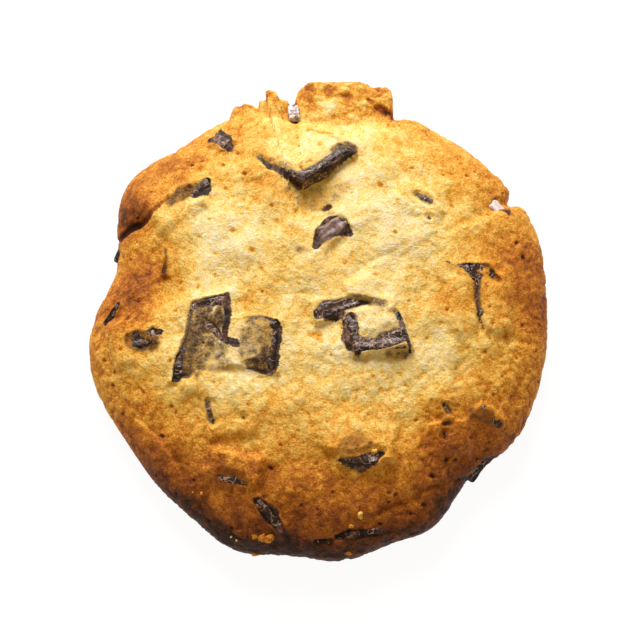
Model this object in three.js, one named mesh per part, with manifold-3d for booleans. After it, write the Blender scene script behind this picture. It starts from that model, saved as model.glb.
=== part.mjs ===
// Chocolate chunk cookie: a thick baked biscuit with broken blocks of chocolate sunk in its dough.
// Units are millimetres. +Z is up, the flat underside lies on z = 0, +X runs to the right and
// +Y away from the side that the cookie is seen from. Angles are in degrees, turned from +X to +Y.
import * as THREE from "three";
import { mergeVertices } from "three/addons/utils/BufferGeometryUtils.js";
import Module from "manifold-3d";

const wasm = await Module();
wasm.setup();

// Driving sizes of the dough
const DOME_RADIUS = 39.3;
const TOP_HEIGHT = 14.0;
const RIM_HEIGHT = 4.5;
const DOME_FLATNESS = 3.2;
const DOME_ROUNDNESS = 1.9;
const UNDERCUT = 2.2;
const LEDGE_HEIGHT = 2.0;
const FILM = 0.75;
const MOUND_SOFTNESS = 2.2;
const LIP_SOFTNESS = 0.8;
const RELIEF_FADE = 10;
const CREASE_LIP = 0.4;

// Middle of the outline's box, which is the part's origin
const MIDDLE = [-0.2, 0.7];

// How the mesh of the dough is divided
const RINGS = 26;
const RING_SPREAD = 1.5;
const WALL_LEVELS = 4;

// How the chocolate is shaped
const CHAMFER = 0.55;
const CORNER = 0.9;
const POCKET_GAP = 0.3;
const SLOPE_STEP = 2.5;

// Bulges and dents of the dome's outline
const LOBES = [
  { at: 25, width: 18, out: 1.9 },
  { at: 32, width: 1.8, out: -2.0 },
  { at: 52, width: 20, out: 0.9 },
  { at: 66, width: 5, out: 0.9 },
  { at: 88, width: 17, out: -3.6 },
  { at: 108, width: 7, out: 1.5 },
  { at: 119, width: 7, out: 0.8 },
  { at: 143, width: 12, out: 2.7 },
  { at: 167, width: 11, out: -2.6 },
  { at: 194, width: 16, out: 1.7 },
  { at: 231, width: 14, out: 1.5 },
  { at: 251, width: 12, out: 3.7 },
  { at: 275, width: 13, out: 3.4 },
  { at: 297, width: 10, out: 2.3 },
  { at: 312, width: 10, out: -1.2 },
  { at: 330, width: 10, out: 1.0 },
  { at: 348, width: 12, out: 0.6 },
];

// Lower crust that runs out past the dome's far edge: the broad flap and the torn bits beside it
const LEDGES = [
  { at: 84.2, width: 12.8, out: 7.1, squareness: 12 },
  { at: 86.0, width: 11.0, out: 8.3, squareness: 6 },
  { at: 99.2, width: 2.8, out: 3.8, squareness: 4 },
  { at: 101.8, width: 2.0, out: 5.2, squareness: 6 },
  { at: 103.8, width: 2.2, out: 2.8, squareness: 4 },
  { at: 109.5, width: 3.6, out: 1.9, squareness: 4 },
];

// Folds where one side of the dough sank below the other; the left side of from-to is the low one
const CREASES = [
  { from: [-37.0, 13.6], to: [-23.5, 23.2], bow: -1.5, depth: 2.8, fall: 2.4 },
  { from: [30.5, -27.0], to: [3.0, -40.0], bow: -1.6, depth: 1.3, fall: 3.0 },
  { from: [-34.0, -17.0], to: [-22.0, -33.5], bow: 2.2, depth: 0.9, fall: 2.5 },
  { from: [31.0, -6.2], to: [40.5, -6.6], bow: 0.9, depth: 0.9, fall: 2.2 },
  { from: [5.4, 5.2], to: [13.6, 9.8], bow: 0.5, depth: 0.45, fall: 1.4 },
];

// Broad rises and hollows of the top
const SWELLS = [
  { at: [-31.5, 21.0], radius: 4.5, height: 0.9 },
  { at: [-0.5, 20.6], radius: 4.5, height: -1.8 },
  { at: [0.5, -3.0], radius: 2.4, height: -0.8 },
  { at: [-26.8, 3.4], radius: 3.6, height: -1.5 },
  { at: [-23.6, 0.6], radius: 2.2, height: 0.7 },
  { at: [29.5, 9.6], radius: 3.0, height: -0.8 },
  { at: [30.5, 21.0], radius: 3.2, height: -1.0 },
  { at: [27.0, -24.5], radius: 4.5, height: -1.2 },
  { at: [-6.0, -17.0], radius: 8.0, height: 0.5 },
  { at: [17.0, 14.0], radius: 9.0, height: 0.4 },
  { at: [15.0, -12.0], radius: 5.0, height: -0.5 },
];

// Slow waves that leave the crust uneven: direction, wavelength and height of each
const RIPPLES = [
  { turn: 25, length: 9.5, height: 0.16, phase: 0.4 },
  { turn: 108, length: 7.0, height: 0.13, phase: 1.9 },
  { turn: 160, length: 5.6, height: 0.1, phase: 3.1 },
  { turn: 68, length: 12.5, height: 0.18, phase: 5.0 },
];

// Chunks let into the top. size is length, width and thickness; rise is how far the middle of the
// top face stands above the dough; tip adds to the slope along the length and the width; taper
// narrows the far end; covers are the stretches [u0, u1, v0, v1] of the face that dough has run
// over, from the middle of the face: a side that lies past the face's own edge slopes off gently.
const TOP_CHUNKS = [
  { name: "chunk_ridge", at: [-1.7, 27.4], size: [11.6, 8.0, 4.2], turn: 34, skew: -20, taper: 0,
    rise: 1.0, tip: [0.03, -0.28], covers: [[-4.4, 3.4, -1.8, 5.4]] },
  { name: "chunk_wedge", at: [2.1, 13.8], size: [6.8, 4.2, 3.8], turn: 38, skew: 8, taper: 0.2,
    rise: 0.5, tip: [0.1, -0.15], covers: [] },
  { name: "chunk_upper_left", at: [-17.6, 31.2], size: [4.6, 3.2, 3.0], turn: -35, skew: 0, taper: 0.1,
    rise: 0.35, tip: [0, 0.05], covers: [] },
  { name: "chunk_crease", at: [-23.6, 20.8], size: [10.2, 3.8, 3.2], turn: 36, skew: 0, taper: 0.15,
    rise: 0.2, tip: [0.03, 0], covers: [[-6.4, 1.8, -2.9, 2.9]] },
  { name: "chunk_left_sliver", at: [-26.7, 8.6], size: [5.6, 1.8, 2.0], turn: 86, skew: 0, taper: 0,
    rise: 0.2, tip: [0, 0], covers: [] },
  { name: "chunk_left_slit", at: [-36.0, -0.4], size: [4.8, 1.5, 2.2], turn: 58, skew: 0, taper: 0,
    rise: 0.25, tip: [0, 0.5], covers: [] },
  { name: "chunk_mottled", at: [-31.0, -5.2], size: [6.4, 4.0, 2.6], turn: 14, skew: 10, taper: 0,
    rise: 0.2, tip: [0, 0], covers: [[-4.2, -1.8, -3.0, 3.0]] },
  { name: "chunk_slab", at: [-20.2, -5.2], size: [14.6, 7.6, 4.2], turn: 80, skew: -22, taper: 0.1,
    rise: 0.3, tip: [0.02, 0.02], covers: [[-9.2, -6.4, -5.4, 1.4]] },
  { name: "chunk_pane", at: [-10.4, -6.9], size: [9.8, 7.2, 4.0], turn: 86, skew: 4, taper: 0,
    rise: 0.7, tip: [0, -0.05], covers: [[-4.1, 4.1, -1.8, 5.0]] },
  { name: "chunk_block", at: [9.7, -4.6], size: [10.6, 7.8, 5.0], turn: 8, skew: -8, taper: 0.03,
    rise: 1.3, tip: [0, -0.12], covers: [[-1.8, 3.6, -0.6, 5.0]] },
  { name: "chunk_shadow", at: [3.0, -0.1], size: [9.2, 3.4, 3.2], turn: 16, skew: 0, taper: 0.35,
    rise: 0.15, tip: [0, -0.05], covers: [[2.2, 5.8, -2.4, 2.6]] },
  { name: "chunk_tee", at: [27.2, 3.0], size: [10.6, 6.4, 3.2], turn: -86, skew: 0, taper: 0.35,
    rise: 0.35, tip: [0, 0], covers: [[-2.9, 6.4, 0.7, 4.0], [-2.2, 6.4, -4.0, -1.0]] },
  { name: "chunk_upper_right", at: [18.0, 19.6], size: [4.4, 3.4, 2.4], turn: -40, skew: 0, taper: 0,
    rise: 0.15, tip: [0, 0], covers: [[-3.0, 3.0, -2.6, 0.5]] },
  { name: "chunk_lower_wedge", at: [6.7, -25.0], size: [7.8, 5.8, 4.0], turn: -10, skew: -8, taper: 0.1,
    rise: 0.8, tip: [0.02, -0.24], covers: [[-4.8, 4.8, -0.8, 4.0]] },
  { name: "chunk_streak", at: [-8.5, -36.1], size: [7.8, 2.3, 3.0], turn: -48, skew: 0, taper: 0.1,
    rise: 0.4, tip: [0, 0.1], covers: [] },
  { name: "chunk_lower_left", at: [-14.9, -29.4], size: [5.8, 3.6, 2.6], turn: -14, skew: 0, taper: 0,
    rise: 0.2, tip: [0, -0.05], covers: [[-3.8, 3.8, -0.5, 2.9]] },
  { name: "chunk_flecked", at: [22.0, -19.3], size: [7.2, 2.6, 2.4], turn: -82, skew: 0, taper: 0,
    rise: 0.15, tip: [0, 0], covers: [[0.8, 4.6, -2.2, 2.2]] },
  { name: "chunk_right", at: [28.9, -18.8], size: [5.4, 3.0, 2.6], turn: -28, skew: 8, taper: 0.2,
    rise: 0.3, tip: [0, 0], covers: [] },
  { name: "chunk_ghost", at: [-16.6, -18.4], size: [7.0, 5.2, 2.2], turn: 4, skew: 0, taper: 0,
    rise: 0.1, tip: [0, 0], covers: [[-2.6, 4.5, -3.6, 3.6]] },
];

// Chunks that show in the side of the cookie. deg is where they stand round it, facing the angle of
// the outward face above level, and sunk how far that face lies inside the crust (negative: proud)
const EDGE_CHUNKS = [
  { name: "chunk_edge_left", deg: 161, height: 5.2, facing: 24, size: [4.6, 2.6, 2.6], turn: 0, sunk: 0.1 },
  { name: "chunk_edge_notch", deg: 31.5, height: 8.6, facing: 56, size: [3.8, 3.2, 3.0], turn: 20,
    sunk: 0.1 },
  { name: "chunk_edge_lower_right", deg: 317, height: 5.8, facing: 34, size: [8.0, 4.4, 3.0], turn: 6,
    sunk: 0.4 },
  { name: "chunk_edge_low_left", deg: 270.9, height: 8.2, facing: 44, size: [3.0, 1.6, 2.0], turn: -6,
    sunk: 0.3 },
  { name: "chunk_edge_low_right", deg: 279.5, height: 8.6, facing: 44, size: [8.0, 2.0, 2.2], turn: -2,
    sunk: 0.3 },
  { name: "chunk_edge_far", deg: 97, height: 4.6, facing: 58, size: [2.8, 4.6, 2.2], turn: 0, sunk: -2.6 },
];

const DOUGH_COLOUR = new THREE.Color(0.86, 0.62, 0.3);
const CHOCOLATE_COLOUR = new THREE.Color(0.13, 0.08, 0.06);

const radians = THREE.MathUtils.degToRad;

function turnApart(a, b) {
  return THREE.MathUtils.euclideanModulo(a - b + 180, 360) - 180;
}

function fadeIn(value) {
  return THREE.MathUtils.smoothstep(value, 0, 1);
}

// Outline of the dome in plan
function domeEdge(deg) {
  const bulge = ({ at, width, out }) => out * Math.exp(-((turnApart(deg, at) / width) ** 2));
  return LOBES.reduce((edge, lobe) => edge + bulge(lobe), DOME_RADIUS);
}

// How far the lower crust runs out past the dome
function ledgeReach(deg) {
  const flap = ({ at, width, out, squareness }) =>
    out * Math.exp(-(Math.abs(turnApart(deg, at) / width) ** squareness));
  return LEDGES.reduce((reach, ledge) => Math.max(reach, flap(ledge)), 0);
}

function rimEdge(deg) {
  return domeEdge(deg) + ledgeReach(deg);
}

function angleOf(x, y) {
  return THREE.MathUtils.radToDeg(Math.atan2(y, x));
}

function domeHeight(x, y) {
  const reach = Math.min(1, Math.hypot(x, y) / domeEdge(angleOf(x, y)));
  return RIM_HEIGHT + (TOP_HEIGHT - RIM_HEIGHT) * (1 - reach ** DOME_FLATNESS) ** (1 / DOME_ROUNDNESS);
}

function ledgeHeight(x, y) {
  const deg = angleOf(x, y);
  const reach = ledgeReach(deg);
  const past = THREE.MathUtils.clamp((Math.hypot(x, y) - domeEdge(deg)) / Math.max(reach, 0.01), 0, 1);
  return RIM_HEIGHT + LEDGE_HEIGHT * fadeIn(reach / 2) * Math.sqrt(1 - past ** 3);
}

function creaseDrop(x, y, { from, to, bow, depth, fall }) {
  const run = [to[0] - from[0], to[1] - from[1]];
  const length = Math.hypot(...run);
  const along = ((x - from[0]) * run[0] + (y - from[1]) * run[1]) / length ** 2;
  if (along <= 0 || along >= 1) return 0;
  const across = ((y - from[1]) * run[0] - (x - from[0]) * run[1]) / length;
  const off = across - bow * 4 * along * (1 - along);
  const taper = fadeIn(along * 6) * fadeIn((1 - along) * 3);
  return depth * taper * (off > 0 ? Math.exp(-off / fall) : Math.exp(off / CREASE_LIP));
}

// Everything that makes the crust uneven, before the chunks push it up
function relief(x, y) {
  let height = 0;
  for (const { at, radius, height: rise } of SWELLS) {
    height += rise * Math.exp(-(((x - at[0]) ** 2 + (y - at[1]) ** 2) / radius ** 2));
  }
  for (const crease of CREASES) {
    height -= creaseDrop(x, y, crease);
  }
  for (const { turn, length, height: swing, phase } of RIPPLES) {
    const along = x * Math.cos(radians(turn)) + y * Math.sin(radians(turn));
    height += swing * Math.sin((2 * Math.PI * along) / length + phase);
  }
  return height;
}

function bareHeight(x, y) {
  const reach = Math.min(1, Math.hypot(x, y) / rimEdge(angleOf(x, y)));
  const body = Math.max(domeHeight(x, y), ledgeHeight(x, y));
  return body + relief(x, y) * (1 - reach ** RELIEF_FADE);
}

// Plane of a chunk's top face: where it passes, its slopes, and its directions in plan
function facePlane(chunk) {
  const [x, y] = chunk.at;
  const slopeX = (domeHeight(x + SLOPE_STEP, y) - domeHeight(x - SLOPE_STEP, y)) / (2 * SLOPE_STEP);
  const slopeY = (domeHeight(x, y + SLOPE_STEP) - domeHeight(x, y - SLOPE_STEP)) / (2 * SLOPE_STEP);
  const cos = Math.cos(radians(chunk.turn));
  const sin = Math.sin(radians(chunk.turn));
  const [tipU, tipV] = chunk.tip;
  return {
    x, y, cos, sin,
    z: bareHeight(x, y) + chunk.rise,
    slopeX: slopeX + tipU * cos - tipV * sin,
    slopeY: slopeY + tipU * sin + tipV * cos,
  };
}

const FACES = new Map(TOP_CHUNKS.map((chunk) => [chunk, facePlane(chunk)]));

// How far a place lies past a stretch, in widths of the slope there
function pastStretch(place, low, high, halfFace) {
  const width = (side) => (Math.abs(side) > halfFace ? MOUND_SOFTNESS : LIP_SOFTNESS);
  return Math.max((low - place) / width(low), 0, (place - high) / width(high));
}

// Height of the dough's top: where it runs over a chunk it lies one film above the chunk's face
function doughHeight(x, y) {
  let height = bareHeight(x, y);
  for (const [chunk, face] of FACES) {
    const dx = x - face.x;
    const dy = y - face.y;
    const u = dx * face.cos + dy * face.sin;
    const v = dy * face.cos - dx * face.sin;
    const raised = face.z + face.slopeX * dx + face.slopeY * dy + FILM;
    for (const [u0, u1, v0, v1] of chunk.covers) {
      const outsideU = pastStretch(u, u0, u1, chunk.size[0] / 2);
      const outsideV = pastStretch(v, v0, v1, chunk.size[1] / 2);
      const weight = 1 - fadeIn(Math.hypot(outsideU, outsideV));
      height += weight * Math.max(0, raised - height);
    }
  }
  return height;
}

function solidFrom(geometry) {
  geometry.deleteAttribute("normal");
  geometry.deleteAttribute("uv");
  const merged = mergeVertices(geometry);
  return new wasm.Manifold(new wasm.Mesh({
    numProp: 3,
    vertProperties: Float32Array.from(merged.attributes.position.array),
    triVerts: Uint32Array.from(merged.index.array),
  }));
}

function geometryFrom(solid) {
  const mesh = solid.getMesh();
  const geometry = new THREE.BufferGeometry();
  geometry.setAttribute("position", new THREE.BufferAttribute(mesh.vertProperties, 3));
  geometry.setIndex(new THREE.BufferAttribute(mesh.triVerts, 1));
  return geometry;
}

// The top is a web of rings, ring k with 6k corners; the wall turns under to the flat base
function doughGeometry() {
  const points = [0, 0, doughHeight(0, 0)];
  const faces = [];
  const ringStart = (ring) => (ring === 0 ? 0 : 1 + 3 * ring * (ring - 1));
  for (let ring = 1; ring <= RINGS; ring += 1) {
    const reach = 1 - (1 - ring / RINGS) ** RING_SPREAD;
    for (let i = 0; i < 6 * ring; i += 1) {
      const deg = (60 * i) / ring;
      const radius = reach * rimEdge(deg);
      const x = radius * Math.cos(radians(deg));
      const y = radius * Math.sin(radians(deg));
      points.push(x, y, ring === RINGS ? RIM_HEIGHT : doughHeight(x, y));
    }
    for (let side = 0; side < 6; side += 1) {
      for (let i = 0; i < ring; i += 1) {
        const outer = ringStart(ring) + side * ring + i;
        const outerNext = ringStart(ring) + ((side * ring + i + 1) % (6 * ring));
        const innerCount = Math.max(1, 6 * (ring - 1));
        const inner = ringStart(ring - 1) + ((side * (ring - 1) + i) % innerCount);
        faces.push(inner, outer, outerNext);
        if (i < ring - 1) {
          const innerNext = ringStart(ring - 1) + ((side * (ring - 1) + i + 1) % innerCount);
          faces.push(inner, outerNext, innerNext);
        }
      }
    }
  }
  const corners = 6 * RINGS;
  let upper = ringStart(RINGS);
  for (let level = 1; level <= WALL_LEVELS; level += 1) {
    const lower = points.length / 3;
    const bend = (level / WALL_LEVELS) * (Math.PI / 2);
    for (let i = 0; i < corners; i += 1) {
      const deg = (360 * i) / corners;
      const radius = rimEdge(deg) - UNDERCUT * (1 - Math.cos(bend));
      const height = level === WALL_LEVELS ? 0 : RIM_HEIGHT * (1 - Math.sin(bend));
      points.push(radius * Math.cos(radians(deg)), radius * Math.sin(radians(deg)), height);
    }
    for (let i = 0; i < corners; i += 1) {
      const next = (i + 1) % corners;
      faces.push(upper + i, lower + i, lower + next);
      faces.push(upper + i, lower + next, upper + next);
    }
    upper = lower;
  }
  const centre = points.length / 3;
  points.push(0, 0, 0);
  for (let i = 0; i < corners; i += 1) {
    faces.push(centre, upper + ((i + 1) % corners), upper + i);
  }
  const geometry = new THREE.BufferGeometry();
  geometry.setAttribute("position", new THREE.Float32BufferAttribute(points, 3));
  geometry.setIndex(faces);
  return geometry;
}

// Outline of a broken block: a leaning, tapering quad with its corners rounded off
function blockShape(length, width, skewDeg, taper, corner) {
  const lean = Math.tan(radians(skewDeg));
  const quad = [[-1, -1], [1, -1], [1, 1], [-1, 1]].map(([u, v]) => {
    const halfWidth = (width / 2) * (1 - taper * u);
    return new THREE.Vector2((u * length) / 2 + lean * v * halfWidth, v * halfWidth);
  });
  const towards = (a, b) => a.clone().add(b.clone().sub(a).setLength(corner));
  const shape = new THREE.Shape();
  quad.forEach((point, i) => {
    const start = towards(point, quad[(i + 3) % 4]);
    const end = towards(point, quad[(i + 1) % 4]);
    if (i === 0) shape.moveTo(start.x, start.y);
    else shape.lineTo(start.x, start.y);
    shape.quadraticCurveTo(point.x, point.y, end.x, end.y);
  });
  shape.closePath();
  return shape;
}

// The block lies with its top face at local z = 0 and its body below
function blockGeometry({ size: [length, width, thickness], skew = 0, taper = 0 }) {
  const chamfer = Math.min(CHAMFER, width / 4, thickness / 4);
  const corner = Math.min(CORNER, width / 3);
  return new THREE.ExtrudeGeometry(blockShape(length, width, skew, taper, corner), {
    depth: thickness - 2 * chamfer, curveSegments: 2, bevelEnabled: true, bevelSegments: 1,
    bevelThickness: chamfer, bevelSize: chamfer, bevelOffset: -chamfer,
  }).translate(0, 0, chamfer - thickness);
}

function pocketGeometry({ size: [length, width, thickness], skew = 0, taper = 0 }) {
  const grown = 2 * POCKET_GAP;
  const corner = Math.min(CORNER, width / 3);
  return new THREE.ExtrudeGeometry(blockShape(length + grown, width + grown, skew, taper, corner), {
    depth: thickness + grown, curveSegments: 1, bevelEnabled: false,
  }).translate(0, 0, -thickness - POCKET_GAP);
}

function seatOnTop(chunk) {
  const { x, y, z, cos, sin, slopeX, slopeY } = FACES.get(chunk);
  const up = new THREE.Vector3(-slopeX, -slopeY, 1).normalize();
  const length = new THREE.Vector3(cos, sin, slopeX * cos + slopeY * sin).normalize();
  const width = new THREE.Vector3().crossVectors(up, length);
  return new THREE.Matrix4().makeBasis(length, width, up).setPosition(x, y, z);
}

// Radius at which the dome has come down to a height
function radiusAt(deg, height) {
  const drop = 1 - ((height - RIM_HEIGHT) / (TOP_HEIGHT - RIM_HEIGHT)) ** DOME_ROUNDNESS;
  return domeEdge(deg) * drop ** (1 / DOME_FLATNESS);
}

function seatAtEdge({ deg, height, facing, turn, sunk }) {
  const around = radians(deg);
  const lift = radians(facing);
  const out = new THREE.Vector3(
    Math.cos(around) * Math.cos(lift), Math.sin(around) * Math.cos(lift), Math.sin(lift));
  const side = new THREE.Vector3(-Math.sin(around), Math.cos(around), 0).applyAxisAngle(out, radians(turn));
  const rise = new THREE.Vector3().crossVectors(out, side);
  const radius = radiusAt(deg, height);
  const place = new THREE.Vector3(radius * Math.cos(around), radius * Math.sin(around), height);
  return new THREE.Matrix4().makeBasis(side, rise, out).setPosition(place.addScaledVector(out, -sunk));
}

function seatOf(chunk) {
  return "deg" in chunk ? seatAtEdge(chunk) : seatOnTop(chunk);
}

// Scraps that the pockets cut loose from the dough are dropped
function largestPiece(solid) {
  return solid.decompose().reduce((best, piece) => (piece.volume() > best.volume() ? piece : best));
}

function doughSolid(chunks) {
  let dough = solidFrom(doughGeometry());
  for (const chunk of chunks) {
    dough = dough.subtract(solidFrom(pocketGeometry(chunk).applyMatrix4(seatOf(chunk))));
  }
  return largestPiece(dough);
}

function namedMesh(name, geometry, colour, roughness) {
  geometry.computeVertexNormals();
  const material = new THREE.MeshStandardMaterial({ color: colour, roughness, metalness: 0 });
  const mesh = new THREE.Mesh(geometry, material);
  mesh.name = name;
  return mesh;
}

function cookie() {
  const group = new THREE.Group();
  const chunks = [...TOP_CHUNKS, ...EDGE_CHUNKS];
  group.add(namedMesh("dough", geometryFrom(doughSolid(chunks)), DOUGH_COLOUR, 0.85));
  for (const chunk of chunks) {
    const block = geometryFrom(solidFrom(blockGeometry(chunk)));
    const mesh = namedMesh(chunk.name, block, CHOCOLATE_COLOUR, 0.4);
    mesh.applyMatrix4(seatOf(chunk));
    group.add(mesh);
  }
  group.position.set(-MIDDLE[0], -MIDDLE[1], 0);
  return group;
}

const group = cookie();
export default group;
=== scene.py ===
"""Dresses a chocolate chunk cookie: baked dough, broken chocolate blocks and a few crumbs.

Sizes are in millimetres and angles in degrees until a mesh is made. Places are measured from the
middle of the cookie's outline before it is centred, as in the part's own source.
"""
import itertools
import math

import bpy
import numpy as np
from mathutils import Matrix, Vector


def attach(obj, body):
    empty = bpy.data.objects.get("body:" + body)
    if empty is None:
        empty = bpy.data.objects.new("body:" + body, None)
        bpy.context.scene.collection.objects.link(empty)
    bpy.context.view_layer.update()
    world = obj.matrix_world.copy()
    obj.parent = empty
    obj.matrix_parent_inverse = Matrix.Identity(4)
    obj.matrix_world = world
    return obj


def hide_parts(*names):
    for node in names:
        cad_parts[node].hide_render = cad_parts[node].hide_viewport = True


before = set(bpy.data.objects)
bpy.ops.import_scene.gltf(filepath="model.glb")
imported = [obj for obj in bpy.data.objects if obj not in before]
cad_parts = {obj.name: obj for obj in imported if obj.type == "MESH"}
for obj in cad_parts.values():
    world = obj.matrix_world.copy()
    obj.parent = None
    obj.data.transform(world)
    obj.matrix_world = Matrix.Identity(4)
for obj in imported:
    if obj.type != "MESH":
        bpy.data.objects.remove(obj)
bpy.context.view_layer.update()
MM = 0.001

# Driving sizes of the dough, as in the part's source
MIDDLE = (-0.2, 0.7)
DOME_RADIUS = 39.3
TOP_HEIGHT = 14.0
RIM_HEIGHT = 4.5
DOME_FLATNESS = 3.2
DOME_ROUNDNESS = 1.9
UNDERCUT = 2.2
LEDGE_HEIGHT = 2.0
FILM = 0.75
MOUND_SOFTNESS = 2.2
LIP_SOFTNESS = 0.8
RELIEF_FADE = 10
CREASE_LIP = 0.4
SLOPE_STEP = 2.5

# Bulges and dents of the dome's outline: where round it, how wide, how far out
LOBES = [
    (25, 18, 1.9), (32, 1.8, -2.0), (52, 20, 0.9), (66, 5, 0.9), (88, 17, -3.6), (108, 7, 1.5),
    (119, 7, 0.8), (143, 12, 2.7), (167, 11, -2.6), (194, 16, 1.7), (231, 14, 1.5), (251, 12, 3.7),
    (275, 13, 3.4), (297, 10, 2.3), (312, 10, -1.2), (330, 10, 1.0), (348, 12, 0.6),
]

# Lower crust past the dome's far edge: where round it, how wide, how far out, how square
LEDGES = [
    (84.2, 12.8, 7.1, 12),
    (86.0, 11.0, 8.3, 6),
    (99.2, 2.8, 3.8, 4),
    (101.8, 2.0, 5.2, 6),
    (103.8, 2.2, 2.8, 4),
    (109.5, 3.6, 1.9, 4),
]

# Folds where one side of the dough sank: from, to, bow, depth and how slowly it levels out
CREASES = [
    ((-37, 13.6), (-23.5, 23.2), -1.5, 2.8, 2.4),
    ((30.5, -27), (3, -40), -1.6, 1.3, 3),
    ((-34, -17), (-22, -33.5), 2.2, 0.9, 2.5),
    ((31, -6.2), (40.5, -6.6), 0.9, 0.9, 2.2),
    ((5.4, 5.2), (13.6, 9.8), 0.5, 0.45, 1.4),
]

# Broad rises and hollows of the top: place, radius and height
SWELLS = [
    ((-31.5, 21), 4.5, 0.9), ((-0.5, 20.6), 4.5, -1.8), ((0.5, -3), 2.4, -0.8),
    ((-26.8, 3.4), 3.6, -1.5), ((-23.6, 0.6), 2.2, 0.7), ((29.5, 9.6), 3, -0.8),
    ((30.5, 21), 3.2, -1), ((27, -24.5), 4.5, -1.2), ((-6, -17), 8, 0.5), ((17, 14), 9, 0.4),
    ((15, -12), 5, -0.5),
]

# Slow waves of the crust: direction, wavelength, height and phase
RIPPLES = [
    (25, 9.5, 0.16, 0.4),
    (108, 7.0, 0.13, 1.9),
    (160, 5.6, 0.1, 3.1),
    (68, 12.5, 0.18, 5.0),
]

# Chunks let into the top: place, size, turn, skew, taper, rise, tip, thickness of the dough skin
# over the rest of the face, and the covered stretches
TOP_CHUNKS = {
    "chunk_ridge": dict(
        at=(-1.7, 27.4), size=(11.6, 8.0, 4.2), turn=34, skew=-20, rise=1.0, tip=(0.03, -0.28),
        skin=0.4, covers=[(-4.4, 3.4, -1.8, 5.4)]),
    "chunk_wedge": dict(
        at=(2.1, 13.8), size=(6.8, 4.2, 3.8), turn=38, skew=8, taper=0.2, rise=0.5,
        tip=(0.1, -0.15), skin=0.2),
    "chunk_upper_left": dict(
        at=(-17.6, 31.2), size=(4.6, 3.2, 3.0), turn=-35, taper=0.1, rise=0.35, tip=(0, 0.05),
        skin=0.15),
    "chunk_crease": dict(
        at=(-23.6, 20.8), size=(10.2, 3.8, 3.2), turn=36, taper=0.15, rise=0.2, tip=(0.03, 0),
        skin=0.3, covers=[(-6.4, 1.8, -2.9, 2.9)]),
    "chunk_left_sliver": dict(
        at=(-26.7, 8.6), size=(5.6, 1.8, 2.0), turn=86, rise=0.2, skin=0.3),
    "chunk_left_slit": dict(
        at=(-36.0, -0.4), size=(4.8, 1.5, 2.2), turn=58, rise=0.25, tip=(0, 0.5), skin=0.2),
    "chunk_mottled": dict(
        at=(-31.0, -5.2), size=(6.4, 4.0, 2.6), turn=14, skew=10, rise=0.2, skin=0.2,
        covers=[(-4.2, -1.8, -3.0, 3.0)]),
    "chunk_slab": dict(
        at=(-20.2, -5.2), size=(14.6, 7.6, 4.2), turn=80, skew=-22, taper=0.1, rise=0.3,
        tip=(0.02, 0.02), skin=0.32, covers=[(-9.2, -6.4, -5.4, 1.4)]),
    "chunk_pane": dict(
        at=(-10.4, -6.9), size=(9.8, 7.2, 4.0), turn=86, skew=4, rise=0.7, tip=(0, -0.05),
        skin=0.45, covers=[(-4.1, 4.1, -1.8, 5.0)]),
    "chunk_block": dict(
        at=(9.7, -4.6), size=(10.6, 7.8, 5.0), turn=8, skew=-8, taper=0.03, rise=1.3,
        tip=(0, -0.12), skin=0.4, covers=[(-1.8, 3.6, -0.6, 5.0)]),
    "chunk_shadow": dict(
        at=(3.0, -0.1), size=(9.2, 3.4, 3.2), turn=16, taper=0.35, rise=0.15, tip=(0, -0.05),
        skin=0.2, covers=[(2.2, 5.8, -2.4, 2.6)]),
    "chunk_tee": dict(
        at=(27.2, 3.0), size=(10.6, 6.4, 3.2), turn=-86, taper=0.35, rise=0.35, skin=0.35,
        covers=[(-2.9, 6.4, 0.7, 4.0), (-2.2, 6.4, -4.0, -1.0)]),
    "chunk_upper_right": dict(
        at=(18.0, 19.6), size=(4.4, 3.4, 2.4), turn=-40, rise=0.15, skin=0.35,
        covers=[(-3.0, 3.0, -2.6, 0.5)]),
    "chunk_lower_wedge": dict(
        at=(6.7, -25.0), size=(7.8, 5.8, 4.0), turn=-10, skew=-8, taper=0.1, rise=0.8,
        tip=(0.02, -0.24), skin=0.3, covers=[(-4.8, 4.8, -0.8, 4.0)]),
    "chunk_streak": dict(
        at=(-8.5, -36.1), size=(7.8, 2.3, 3.0), turn=-48, taper=0.1, rise=0.4, tip=(0, 0.1),
        skin=0.3),
    "chunk_lower_left": dict(
        at=(-14.9, -29.4), size=(5.8, 3.6, 2.6), turn=-14, rise=0.2, tip=(0, -0.05), skin=0.3,
        covers=[(-3.8, 3.8, -0.5, 2.9)]),
    "chunk_flecked": dict(
        at=(22.0, -19.3), size=(7.2, 2.6, 2.4), turn=-82, rise=0.15, skin=0.4,
        covers=[(0.8, 4.6, -2.2, 2.2)]),
    "chunk_right": dict(
        at=(28.9, -18.8), size=(5.4, 3.0, 2.6), turn=-28, skew=8, taper=0.2, rise=0.3, skin=0.15),
    "chunk_ghost": dict(
        at=(-16.6, -18.4), size=(7.0, 5.2, 2.2), turn=4, rise=0.1, skin=0.5,
        covers=[(-2.6, 4.5, -3.6, 3.6)]),
}

# Chunks that show in the side: where round it, height, facing angle, size, turn and depth sunk
EDGE_CHUNKS = {
    "chunk_edge_left": dict(deg=161, height=5.2, facing=24, size=(4.6, 2.6, 2.6), turn=0, sunk=0.1),
    "chunk_edge_notch": dict(deg=31.5, height=8.6, facing=56, size=(3.8, 3.2, 3.0), turn=20, sunk=0.1),
    "chunk_edge_lower_right": dict(
        deg=317, height=5.8, facing=34, size=(8.0, 4.4, 3.0), turn=6, sunk=0.4),
    "chunk_edge_low_left": dict(
        deg=270.9, height=8.2, facing=44, size=(3.0, 1.6, 2.0), turn=-6, sunk=0.3),
    "chunk_edge_low_right": dict(
        deg=279.5, height=8.6, facing=44, size=(8.0, 2.0, 2.2), turn=-2, sunk=0.3),
    "chunk_edge_far": dict(deg=97, height=4.6, facing=58, size=(2.8, 4.6, 2.2), turn=0, sunk=-2.6),
}

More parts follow.
